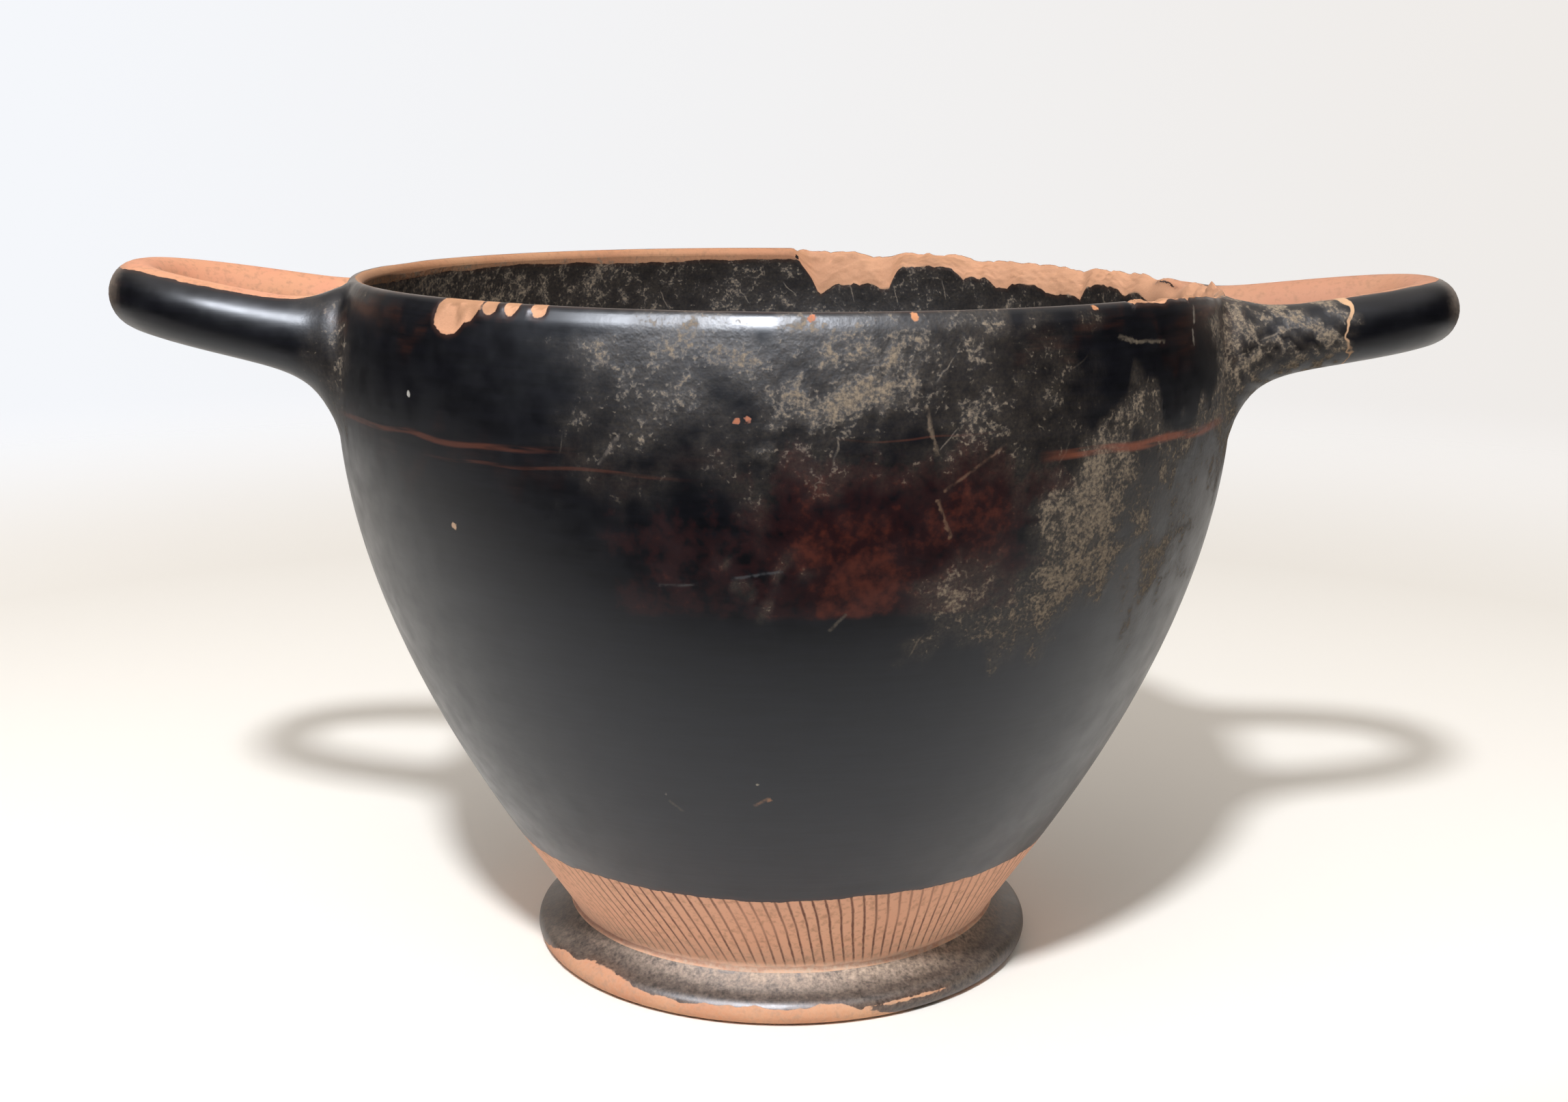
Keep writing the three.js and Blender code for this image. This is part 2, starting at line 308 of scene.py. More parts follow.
zone_heights = np.linspace(STEM_HEIGHT, CLAY_ZONE_TOP, 12)
wall_heights = np.linspace(CLAY_ZONE_TOP, SLIDE_OUT, 56)[1:]
heights = np.concatenate([zone_heights, wall_heights])
outer_rows = circles(np.column_stack([outer_radius(heights), heights]))

start = lerp(WALL_TOP, HEIGHT - top_loss(azimuths), broken)
share = np.linspace(0, 1, 13)[1:, None]
rising = lerp(SLIDE_OUT, start[None, :], share)
rising_rows = np.stack([outer_radius(rising), rising], axis=1)

finish = lerp(LIP_CENTRE[1], HEIGHT - black_depth(azimuths), broken)
across = np.linspace(0, 1, 16)[1:-1, None]
turn = lerp(math.asin(1 - (HEIGHT - WALL_TOP) / LIP_SHOULDER), math.pi, across)
rise = np.where(turn < math.pi / 2, LIP_SHOULDER, LIP_ROUND)
round_lip = np.stack([
    LIP_CENTRE[0] + LIP_ROUND * np.cos(turn) + 0 * azimuths,
    HEIGHT - rise * (1 - np.sin(turn)) + 0 * azimuths,
], axis=1)
edge_out = np.stack([outer_radius(start), start])
edge_in = np.stack([inner_radius(finish), finish])
slope = lerp(edge_out[None], edge_in[None], across[:, :, None])
chord = edge_in - edge_out
hollow_way = np.stack([chord[1], -chord[0]]) / np.hypot(*chord)
bow = across * (1 - across)
crumbs = GRIT_COARSE * uneven(azimuths[None, :] + 60 * across, 5, 1, 5)
crumbs = crumbs + GRIT_FINE * uneven(azimuths[None, :] - 85 * across, 4, 1, 6)
hollow = SCOOP_DEPTH * 4 * bow * (1 + 0.5 * uneven(azimuths, 14, 5, 7))
hollow = hollow + crumbs * np.minimum(1, 6 * bow)
slope = slope + hollow_way[None] * hollow[:, None, :]
lip_rows = lerp(round_lip, slope, broken)

falling = lerp(finish[None, :], SLIDE_IN, np.linspace(0, 1, 15)[:, None])
falling_rows = np.stack([inner_radius(falling), falling], axis=1)

inner_heights = np.linspace(SLIDE_IN, BEND_HEIGHT, 30)[1:]
inner_rows = circles(np.column_stack([inner_radius(inner_heights), inner_heights]))
bend_start = (float(inner_radius(BEND_HEIGHT)), BEND_HEIGHT)
floor_bend = bezier(bend_start, (32, FLOOR_HEIGHT + 1.6), (17, FLOOR_HEIGHT + 0.3), steps=9)[1:]
floor_rows = circles(np.vstack([floor_bend, [(8, FLOOR_HEIGHT + 0.1)]]))

sections = {
    "foot": circles(foot),
    "outer": outer_rows,
    "rising": rising_rows,
    "lip": lip_rows,
    "falling": falling_rows,
    "inner": inner_rows,
    "floor": floor_rows,
}
grid = np.concatenate(list(sections.values()))
section_of_row = np.concatenate([np.full(len(rows), i) for i, rows in enumerate(sections.values())])
names = list(sections)
print(len(grid), "rows:", {name: len(rows) for name, rows in sections.items()})

# %% [markdown]
# ## Paint, in millimetres
#
# The potter left four places without slip: a zone above the foot, the underside, a narrow band
# inside the lip and the inner faces of the handles. Wear bared two more: the lower edge of the
# foot, where the cup was slid over tables, and the chips.

# %% Bare clay on the bowl
radius, height = grid[:, 0, :], grid[:, 1, :]
azimuth = np.broadcast_to(azimuths, radius.shape)
part = section_of_row[:, None] + 0 * azimuth.astype(int)


def within(low, high, x):
    """How far inside a stretch x lies. It is below nought outside."""
    return np.minimum(x - low, high - x)


def is_part(*wanted):
    return np.isin(part, [names.index(name) for name in wanted])


ZONE_SAG, ZONE_SAG_FROM, ZONE_WAVE = 0.25, 276, 0.12
FAR_OUTSIDE = -9.0

zone_top = CLAY_ZONE_TOP - ZONE_SAG * np.abs(np.sin(np.radians(azimuth - ZONE_SAG_FROM)))
zone_top = zone_top + ZONE_WAVE * uneven(azimuth, 60, 4, 8)
bare = np.full(radius.shape, FAR_OUTSIDE)
bare = np.where(is_part("outer"), zone_top - height, bare)

WEAR_TOP = (
    (120, 2.6), (186, 0.9), (199, 1.6), (207, 2.9), (222, 4.0), (232, 3.5), (239, 2.9), (262, 3.1),
    (284, 2.9), (291, 1.6), (297, 0.4), (345, 0.4), (360, 1.5), (480, 2.6),
)
EDGE_LINE, EDGE_LINE_HALF = 2.4, 0.2
round_azimuth = np.where(azimuth < 120, azimuth + 360, azimuth)
wear_line = between(WEAR_TOP, round_azimuth) + RAGGED_LINE * uneven(azimuth, 50, 3, 9)
on_edge = EDGE_LINE_HALF - np.abs(height - EDGE_LINE - 0.12 * uneven(azimuth, 40, 3, 13))
on_edge = np.where(within(288, 352, azimuth) > 0, on_edge, FAR_OUTSIDE)
bare = np.where(is_part("foot"), np.maximum(wear_line - height, on_edge), bare)
bare = np.where(is_part("foot") & (radius < REST_INNER), -FAR_OUTSIDE, bare)

lip_band = height - (LIP_BAND + RAGGED_LINE * uneven(azimuth, 90, 8, 10))
lip_angle = np.degrees(np.arctan2(height - LIP_CENTRE[1], radius - LIP_CENTRE[0]))
whole_lip = (lip_angle - 100) * LIP_ROUND * np.pi / 180
scar_depth = np.minimum(np.abs(height - start), np.abs(height - finish)) + 0.3
bare = np.where(is_part("lip"), lerp(whole_lip, scar_depth, broken), bare)
scar_edge = np.where(broken > 0.5, height - finish, lip_band)
bare = np.where(is_part("falling"), scar_edge, bare)
bare = np.where(is_part("rising") & (broken > 0.5), height - start, bare)

fresh = np.where(is_part("lip"), broken, 0.0)
print("bare share of the bowl's vertices:", round(float((bare > 0).mean()), 2))

# %% [markdown]
# ## Chips at the front
#
# At the front left five flakes were knocked off the outside of the lip. A flake is a shallow shell
# with a sharp edge, so the wall is pushed in by a step at its edge and by a little more in its
# middle.

# %% Flakes
FLAKES = (
    # azimuth, height, radius
    (229.4, 102.9, 2.75),
    (232.4, 103.9, 1.75),
    (235.4, 104.2, 1.15),
    (238.5, 104.3, 1.1),
    (242.2, 104.3, 1.15),
)
FLAKE_STEP, FLAKE_BOWL = 0.3, 0.35

inside_flake = np.full(radius.shape, FAR_OUTSIDE)
for place, level, size in FLAKES:
    along = (azimuth - place) * np.pi / 180 * RIM_RADIUS
    off = np.hypot(along, height - level)
    bow = 1 + 0.07 * np.sin(3 * np.arctan2(height - level, along) + place)
    inside_flake = np.maximum(inside_flake, size * bow - off)
front_face = is_part("outer", "rising") | (is_part("lip") & (lip_angle < 95))
inside_flake = np.where(front_face, inside_flake, FAR_OUTSIDE)
push = FLAKE_STEP * smoothstep(-0.1, 0.25, inside_flake)
push = push + FLAKE_BOWL * smoothstep(0, 2.5, inside_flake)
radius = radius - push
bare = np.maximum(bare, inside_flake)
fresh = np.maximum(fresh, smoothstep(-0.2, 0.2, inside_flake))
print("deepest flake:", round(float(push.max()), 2), "mm")

# %% [markdown]
# ## From grid to mesh
#
# `weave` turns a grid that closes on itself sideways into vertices and faces, with a fan at each
# end. Both the bowl and the handles go through it. A float attribute on each point carries what
# the brush knows to the shader.

# %% Meshes from grids
def weave(name, points, ends, values):
    """A closed mesh from points[row, column, xyz] in mm, two end points and named values."""
    rows, columns = points.shape[:2]
    corner = np.arange(rows * columns).reshape(rows, columns)
    beside = np.roll(corner, -1, axis=1)
    quads = np.stack([corner[:-1], beside[:-1], beside[1:], corner[1:]], axis=-1).reshape(-1, 4)
    first, last = rows * columns, rows * columns + 1
    fans = [(first, b, a) for a, b in zip(corner[0], beside[0])]
    fans += [(last, a, b) for a, b in zip(corner[-1], beside[-1])]
    vertices = np.vstack([points.reshape(-1, 3), ends]) * MM
    mesh = bpy.data.meshes.new(name)
    mesh.from_pydata(vertices.tolist(), [], quads.tolist() + fans)
    for key, field in values.items():
        flat = np.concatenate([field.ravel(), [field[0, 0], field[-1, 0]]]).astype(np.float32)
        mesh.attributes.new(key, "FLOAT", "POINT").data.foreach_set("value", flat)
    piece = bpy.data.objects.new(name, mesh)
    bpy.context.scene.collection.objects.link(piece)
    return piece


angle = np.radians(azimuth)
bowl_points = np.stack([radius * np.cos(angle), radius * np.sin(angle), height], axis=-1)
inside = is_part("falling", "inner", "floor").astype(float)
cup = weave(
    "cup",
    bowl_points,
    [(0, 0, 5.6), (0, 0, FLOOR_HEIGHT)],
    {"bare": bare, "fresh": fresh, "inside": inside, "made": np.ones(radius.shape)},
)
print("bowl:", len(cup.data.polygons), "faces")

# %% [markdown]
# ## Handles
#
# Each handle is a roll of clay bent to half of a rounded rectangle and pressed on below the lip,
# where wet slip was smeared over the joint, mostly downwards. The roll's section is an ellipse
# that is swept along a superellipse and flares at the roots.
#
# The roll starts inside the cup and is cut back to the middle of the wall's thickness by a plug of
# that shape. So the roots end in the clay, follow its curve and don't show inside.

# %% Handle rings
HALF_SPAN = 17.8
SQUARENESS = 2.4
ROOT_X, END_X = 58, 97.2
HALF_WIDTH = 4.2
FLARE_DOWN, FLARE_UP, FLARE_OUT, FLARE_REACH = 6.2, 2.4, 2.2, 2.9
ROOT_START = 5.4
ROLL_SIDES = 32
BARE_TO = 238
HANDLES = (
    # name, side, the roll's top and bottom at the root and at the end, where its inner face begins
    ("right", 1, (100.7, 104.7), (91.1, 95.3), (86, 50)),
    ("left", -1, (101, 106.3), (90.5, 96.7), (66, 42)),
)
wall_x = math.sqrt(BELLY_RADIUS**2 - HALF_SPAN**2)


def handle(name, side, tops, bottoms, crest_and_rise):
    reach = END_X - ROOT_X
    near_root = np.linspace(wall_x - ROOT_START, wall_x + 14, 24)
    bends = np.arccos(((near_root - ROOT_X) / reach) ** (SQUARENESS / 2))
    bends = np.concatenate([bends, np.linspace(bends[-1], 0, 22)[1:]])
    turns = np.concatenate([-bends, bends[-2::-1]])[:, None]
    along = np.cos(turns) ** (2 / SQUARENESS)
    across = np.sign(turns) * np.abs(np.sin(turns)) ** (2 / SQUARENESS)
    x = ROOT_X + reach * along
    normal_x = along ** (SQUARENESS - 1) / reach
    normal_y = np.sign(turns) * np.abs(across) ** (SQUARENESS - 1) / HALF_SPAN
    size = np.hypot(normal_x, normal_y)
    flare = np.exp(-np.maximum(x - wall_x, -1) / FLARE_REACH)
    out = np.clip((x - wall_x) / (END_X - wall_x), 0, None)
    top = lerp(*tops, out) + FLARE_UP * flare
    bottom = lerp(*bottoms, out) - FLARE_DOWN * flare
    roll = np.linspace(2 * np.pi, 0, ROLL_SIDES, endpoint=False)[None, :]
    sideways = (HALF_WIDTH + FLARE_OUT * flare) * np.cos(roll)
    z = (top + bottom) / 2 + (top - bottom) / 2 * np.sin(roll)
    ring_x = x + normal_x / size * sideways
    ring_y = HALF_SPAN * across + normal_y / size * sideways
    # where the lip is broken, the top of the root went with it
    turned = np.degrees(np.arctan2(side * ring_y, side * ring_x))
    cut_off = (turned > BREAK_FROM + 1) & (turned < BREAK_TO) & (np.hypot(ring_x, ring_y) < 69)
    broken_top = HEIGHT - 0.15 - top_loss(turned)
    z = np.where(cut_off, np.minimum(z, broken_top), z)
    points = np.stack([side * ring_x, side * ring_y, z], axis=-1)
    # the inner face is bare from the crest, an angle of the roll, to below the middle
    crest, rise = crest_and_rise
    crest = crest + rise * np.clip(flare, 0, 1) - 10 * smoothstep(0.84, 1, out)
    inner_face = within(crest, BARE_TO, np.degrees(roll) + 0 * crest)
    inner_face = inner_face * np.pi / 180 * (HALF_WIDTH + 0.4)
    torn = cut_off & (z > broken_top - 1.2) & (turned > 0)
    inner_face = np.where(torn, np.maximum(inner_face, 1), inner_face)
    values = {
        "bare": inner_face,
        "fresh": 0 * inner_face,
        "inside": 0 * inner_face,
        "made": 0 * inner_face + 2,
    }
    ends = [points[0].mean(axis=0), points[-1].mean(axis=0)]
    return weave(f"{name}_roll", points, ends, values)


rolls = [handle(*sizes) for sizes in HANDLES]
print("handles:", [len(roll.data.polygons) for roll in rolls], "faces")

# %% [markdown]
# ## One fired body
#
# Bowl and handles were fired as one, so they become one mesh. A boolean union does that. Its new
# vertices along the seam carry nothing, which is how they are found again, and the mesh is eased
# around them as a wet finger eases slip into a corner.

# %% Union
plug_heights = np.linspace(70, HEIGHT + 8, 30)
plug_radii = outer_radius(np.minimum(plug_heights, LIP_CENTRE[1])) - LIP_THICKNESS / 2
plug_rows = circles(np.column_stack([plug_radii, plug_heights]))
plug_angle = np.radians(azimuths)
plug_points = [
    plug_rows[:, 0] * np.cos(plug_angle),
    plug_rows[:, 0] * np.sin(plug_angle),
    plug_rows[:, 1],
]
plug_ends = [(0, 0, plug_heights[0]), (0, 0, plug_heights[-1])]
plug = weave("plug", np.stack(plug_points, axis=-1), plug_ends, {})
for roll in rolls:
    trim = roll.modifiers.new("trim", "BOOLEAN")
    trim.operation = "DIFFERENCE"
    trim.solver = "MANIFOLD"
    trim.object = plug
for roll in rolls:
    union = cup.modifiers.new("union", "BOOLEAN")
    union.operation = "UNION"
    union.solver = "MANIFOLD"
    union.object = roll
joined = bpy.data.meshes.new_from_object(cup.evaluated_get(bpy.context.evaluated_depsgraph_get()))
cup.modifiers.clear()
cup.data = joined
for helper in [*rolls, plug]:
    bpy.data.objects.remove(helper)


def read(mesh, name):
    values = np.zeros(len(mesh.vertices), np.float32)
    mesh.attributes[name].data.foreach_get("value", values)
    return values.astype(float)


def write(mesh, name, values):
    attribute = mesh.attributes.get(name) or mesh.attributes.new(name, "FLOAT", "POINT")
    attribute.data.foreach_set("value", np.asarray(values, np.float32))


def places(mesh):
    flat = np.zeros(len(mesh.vertices) * 3, np.float32)
    mesh.vertices.foreach_get("co", flat)
    return flat.reshape(-1, 3).astype(float) / MM


def links(mesh):
    flat = np.zeros(len(mesh.edges) * 2, np.int32)
    mesh.edges.foreach_get("vertices", flat)
    return flat.reshape(-1, 2)


made = read(joined, "made")
print("union:", len(joined.vertices), "vertices,", int((made == 0).sum()), "of them on the seams")

# %% Easing the seams
SEAM_REACH = 2.6
EASING_ROUNDS = 14

points = places(joined)
edges = links(joined)
seam = points[made < 0.5]
gap = np.full(len(points), 99.0)
near = (np.abs(points[:, 0]) > 55) & (points[:, 2] > 75)
for i in np.flatnonzero(near):
    gap[i] = np.sqrt(((seam - points[i]) ** 2).sum(axis=1).min())
ease = np.exp(-((gap / SEAM_REACH) ** 2))
count = np.bincount(edges.ravel(), minlength=len(points))


def neighbour_mean(values):
    """The mean of each vertex's neighbours, over one or more columns of values."""
    total = np.zeros_like(values)
    np.add.at(total, edges[:, 0], values[edges[:, 1]])
    np.add.at(total, edges[:, 1], values[edges[:, 0]])
    return total / count.reshape(-1, *[1] * (values.ndim - 1))


for _ in range(EASING_ROUNDS):
    points = lerp(points, neighbour_mean(points), 0.6 * ease[:, None])
joined.vertices.foreach_set("co", (points * MM).astype(np.float32).ravel())

known = made > 0.5
for name in ("bare", "fresh", "inside"):
    values = read(joined, name)
    known_near = np.maximum(neighbour_mean(known.astype(float)), 1e-6)
    filled = neighbour_mean(np.where(known, values, 0)) / known_near
    write(joined, name, np.where(known, values, filled))
joined.shade_smooth()
joined.update()
print("eased", int((ease > 0.05).sum()), "vertices")

# %% [markdown]
# ## What the ground and the kiln left
#
# Five more fields are painted on the points, each from 0 to 1. `lime` is how thick the chalky
# crust from the soil lies. `misfire` is where the kiln's air reached the slip and left it red.
# `thin` is where the brush left the slip so thin that it fired brown. `dust` is the grey soil that
# settled on the foot, on the ends of the handles and in the cup. `rays` is how much of the painted
# rays is left.
#
# Each field is a sum of soft patches. A patch is a stretch of azimuths and heights on the outer
# wall, its strength, and how softly it fades, in millimetres. Its edges wander by two millimetres,
# so that no patch is a plain rectangle.

# %% Soft patches
points = places(joined)
place_azimuth = np.degrees(np.arctan2(points[:, 1], points[:, 0])) % 360
place_height = points[:, 2]
place_radius = np.hypot(points[:, 0], points[:, 1])
on_inside = read(joined, "inside") > 0.5
on_handle = place_radius > 68.2
on_wall = ~on_inside & ~on_handle
DEGREE = np.pi / 180 * BELLY_RADIUS
WANDER = 1.9
wandering_azimuth = place_azimuth + WANDER / DEGREE * uneven(place_height * 3, 60, 7, 21)
wandering_height = place_height + WANDER * uneven(place_azimuth * 1.2, 30, 3, 22)


def patches(rows):
    """A field from rows of azimuths, heights, a strength and how softly the patch fades."""
    field = np.zeros(len(points))
    for (az_from, az_to), (z_from, z_to), strength, fade in rows:
        sideways = within(az_from, az_to, wandering_azimuth) * DEGREE
        upwards = within(z_from, z_to, wandering_height)
        depth = np.minimum(sideways, upwards)
        field = np.maximum(field, strength * smoothstep(-fade, fade, depth))
    return np.where(on_wall, field, 0)


lime = patches([
    ((246, 306), (82, 105), 0.16, 5),
    ((250, 296), (96, 105), 0.36, 3),
    ((253, 262), (88, 97), 0.40, 4),
    ((269, 276), (90.5, 95), 0.72, 2.5),
    ((274, 281), (93, 98), 0.84, 2.5),
    ((279, 286), (96, 101), 0.70, 2.5),
    ((286, 300), (84, 97), 0.34, 4),
    ((299, 312), (66, 86), 0.74, 3.5),
    ((296, 304), (62, 74), 0.50, 4),
    ((314, 326), (69, 78), 0.64, 3.5),
    ((304, 340), (84.5, 88.5), 0.62, 1.5),
    ((310, 322), (86, 92), 0.52, 2),
    ((286, 300), (62, 72), 0.44, 4),
    ((312, 340), (60, 84), 0.22, 5),
    ((264, 271), (71.5, 73.5), 0.34, 1.5),
    ((197, 205), (86, 104), 0.30, 3),
    ((333, 352), (78, 104), 0.66, 3),
])
misfire = patches([
    ((273.5, 284), (60, 74), 0.78, 2.5),
    ((270.5, 283), (70, 82), 0.70, 3),
    ((266, 297), (60, 87), 0.42, 3.5),
    ((283, 297), (70, 84), 0.56, 3),
    ((270, 301), (82, 87), 0.46, 2),
    ((252, 266), (64, 80), 0.30, 4),
])

thin = patches([
    ((200, 236), (101.2, 103.4), 0.75, 1.0),
    ((296, 326), (100.4, 102.8), 0.6, 1.0),
    ((322, 350), (98, 105), 0.8, 3),
    ((205, 300), (83.6, 86.0), 0.3, 1.2),
])
tip = smoothstep(95, 101, np.abs(points[:, 0])) * smoothstep(-3.5, 3.5, place_height - 100)
thin = np.maximum(thin, 0.8 * tip * on_handle)
LIP_TINT = ((0, 0.7), (95, 0.35), (140, 0.5), (175, 0.9), (215, 1.0), (235, 0.7), (360, 0.7))
INSIDE_LIME = ((0, 0.3), (110, 0.3), (150, 0.5), (205, 0.5), (240, 0.3), (360, 0.3))
inner_lip = smoothstep(101.6, 102.6, place_height) * (place_radius < LIP_CENTRE[0] + 0.4)
thin = np.maximum(thin, between(LIP_TINT, place_azimuth) * inner_lip)

near_limb = on_handle & (points[:, 0] > 0) & (points[:, 1] < -8)
limb_blotches = 0.42 + 0.3 * uneven(points[:, 0] * 4 + place_height * 7, 40, 12, 23)
limb_blotches = limb_blotches + 0.3 * uneven(points[:, 0] * 5 - place_height * 6, 34, 12, 24)
limb_lime = np.clip(limb_blotches, 0.12, 0.8) * near_limb * smoothstep(-83, -79, -points[:, 0])
lime = np.maximum(lime, limb_lime)
left_root = on_handle & (points[:, 0] < 0) & (points[:, 0] > -72)
lime = np.maximum(lime, 0.16 * left_root * smoothstep(64, 70, 136 - np.abs(points[:, 0])))
inside_lime = between(INSIDE_LIME, place_azimuth) * smoothstep(20, 104, place_height)
lime = np.maximum(lime, inside_lime * on_inside)

# %% Dust and rays
DUST_ROUND = (
    (0, 0.35), (90, 0.4), (185, 0.28), (225, 0.4), (245, 0.62), (262, 0.8), (300, 0.8),
    (325, 0.55), (345, 0.4), (360, 0.35),
)
RAYS_ROUND = ((0, 0.8), (180, 0.2), (218, 0.2), (238, 1.0), (300, 1.0), (345, 0.5), (360, 0.8))
shoulder = 0.22 * smoothstep(2.6, 3.4, place_height) + 0.78 * smoothstep(3.6, 6.0, place_height)
shoulder = shoulder * smoothstep(-8.4, -6.4, -place_height)
dust = shoulder * between(DUST_ROUND, place_azimuth) * (place_radius < FOOT_RADIUS + 0.1)
dust = np.maximum(dust, 0.22 * smoothstep(-13, -8, -place_height) * (place_radius > REST_INNER))
dust = np.maximum(dust, 0.4 * on_handle * smoothstep(96, 101, np.abs(points[:, 0])))
dust = np.where(on_inside, 0.5 * smoothstep(-60, -11, -place_height), dust)
rays = between(RAYS_ROUND, place_azimuth)
fields = {"lime": lime, "misfire": misfire, "thin": thin, "dust": dust, "rays": rays}
for name, field in fields.items():
    write(joined, name, field)
    print(name, "covers", int((field > 0.1).sum()), "points")

# %% [markdown]
# ## The surface: black gloss over orange clay
#
# Attic black gloss is no glaze. It is the finest part of the same clay, with potash in it, that
# sintered to a thin glass. So it has the index of glass, no metal in it, and a soft sheen: it was
# burnished, and then two thousand years of soil etched it to a roughness near 0.3, where a new one
# has 0.2. The clay under it is matt earthenware with fine mica and pores, near 0.85. The crust is
# rougher still.
#
# One material holds all three, because on the real cup they are layers of one skin. `node` adds a
# node with its settings and links. Its inputs come in the order of the node's sockets, so a map
# range takes a value, the range that it comes from and the range that it goes to. `paint_over`
# lays colours over each other as a brush does, and `overlap` is where several masks meet.

# %% The node helpers
NOISE = "ShaderNodeTexNoise"
MATH = "ShaderNodeMath"
RANGE = "ShaderNodeMapRange"
VECTOR = "ShaderNodeVectorMath"
MIX = "ShaderNodeMix"

skin = bpy.data.materials.new("black_slip_gloss_on_earthenware")
skin.use_nodes = True
tree = skin.node_tree
tree.nodes.clear()


def node(kind, *inputs, output=0, **settings):
    """Adds a node. Each input is a value or another node's output, for the sockets in their order,
    or a pair of a socket and its input. The settings are the node's own choices."""
    added = tree.nodes.new(kind)
    for key, value in settings.items():
        setattr(added, key, value)
    for place, value in enumerate(inputs):
        is_pair = isinstance(value, tuple) and len(value) == 2
        socket, value = value if is_pair else (place, value)
        if isinstance(value, bpy.types.NodeSocket):
            tree.links.new(value, added.inputs[socket])
        else:
            added.inputs[socket].default_value = value
    return added.outputs[output] if added.outputs else None


def paint_over(colour, *layers):
    """Lays layers over a colour, each of them how much of it shows and what it is painted with."""
    for shows, paint in layers:
        paint = linear(paint) if isinstance(paint, str) else paint
        colour = node(MIX, (0, shows), (6, colour), (7, paint), data_type="RGBA", output=2)
    return colour


def overlap(*masks):
    """The product of masks, which is nought where any of them is."""
    shared = masks[0]
    for mask in masks[1:]:
        shared = node(MATH, shared, mask, operation="MULTIPLY")
    return shared


# %% Places and painted fields
object_place = node("ShaderNodeTexCoord", output="Object")
mm = node(VECTOR, object_place, ("Scale", 1 / MM), operation="SCALE")
x, y, z = [node("ShaderNodeSeparateXYZ", mm, output=axis) for axis in "XYZ"]
turn_angle = node(MATH, y, x, operation="ARCTAN2")
azimuth_degrees = node(MATH, turn_angle, 180 / math.pi, operation="MULTIPLY")
painted = {
    name: node("ShaderNodeAttribute", attribute_name=name, output="Fac")
    for name in ("bare", "fresh", "inside", *fields)
}
outer_side = node(MATH, 1.0, painted["inside"], operation="SUBTRACT")

# %% [markdown]
# ## Grain, in millimetres
#
# A noise of scale 1 has lumps about one unit wide, and the coordinates are millimetres, so a scale
# of 1 / size gives lumps of that size. The brush went round the cup on the wheel, so the brush
# marks are stretched sideways: about 9 mm long and 0.8 mm high.

# %% Noises
GRAINS = (
    # size of a lump in mm, detail, roughness
    (0.45, 2.0, 0.6),
    (1.1, 2.0, 0.62),
    (4.0, 2.0, 0.55),
    (14.0, 1.0, 0.5),
)
STROKE = (9, 9, 0.8)
grit, speck, blot, cloud = [
    node(NOISE, ("Vector", mm), ("Scale", 1 / size), ("Detail", detail), ("Roughness", roughness))
    for size, detail, roughness in GRAINS
]
brush_place = node(VECTOR, mm, [1 / size for size in STROKE], operation="MULTIPLY")
brush = node(NOISE, ("Vector", brush_place), ("Scale", 1.0), ("Detail", 2.0), ("Roughness", 0.6))

# %% [markdown]
# ## Where slip ends
#
# `bare` is cut after specks and blots have been added to it, so the edge wanders as a brushed or
# chipped edge does. Noise lies around a half, so the cut lies at half of what was added. Just
# before the edge the slip thins out and fires brown, which draws the fine dark-brown line that the
# eye knows from real gloss.

# %% Bare clay
RAGGED, WAVED = 0.45, 0.7
CUT = (RAGGED + WAVED) / 2
bare_edge = node(MATH, speck, RAGGED, painted["bare"], operation="MULTIPLY_ADD")
bare_edge = node(MATH, blot, WAVED, bare_edge, operation="MULTIPLY_ADD")
clay_here = node(RANGE, bare_edge, CUT - 0.05, CUT + 0.05)
brown_edge = node(RANGE, bare_edge, CUT - 0.8, CUT - 0.05)

# %% [markdown]
# ## The colour of the gloss
#
# In shade the gloss is almost black. Brush marks shift it between blue-black and brown-black, thin
# slip is a dark red-brown, and the misfired place goes from black over maroon to brick red in
# mottles. Below it ends in a nearly level line.

# %% Gloss colours
MISFIRE_FOOT = 67.6
stroke_mix = node(RANGE, brush, 0.35, 0.65)
thin_cut = overlap(painted["thin"], stroke_mix)
thin_all = node(MATH, thin_cut, brown_edge, operation="MAXIMUM")

red_field = node(MATH, speck, 1.1, painted["misfire"], operation="MULTIPLY_ADD")
red_field = node(MATH, blot, 0.9, red_field, operation="MULTIPLY_ADD")
waved_z = node(MATH, blot, 1.6, z, operation="MULTIPLY_ADD")
red_gate = overlap(
    node(RANGE, waved_z, MISFIRE_FOOT, MISFIRE_FOOT + 0.7),
    node(RANGE, painted["misfire"], 0.02, 0.2),
)
maroon_here, red_here = [
    node(RANGE, red_field, low, high, 0.0, red_gate)
    for low, high in ((1.1, 1.4), (1.5, 1.95))
]
gloss_colour = paint_over(
    linear("#07070B"),
    (stroke_mix, "#0D0D13"),
    (thin_all, "#2E170F"),
    (maroon_here, "#241012"),
    (red_here, "#4E241A"),
)
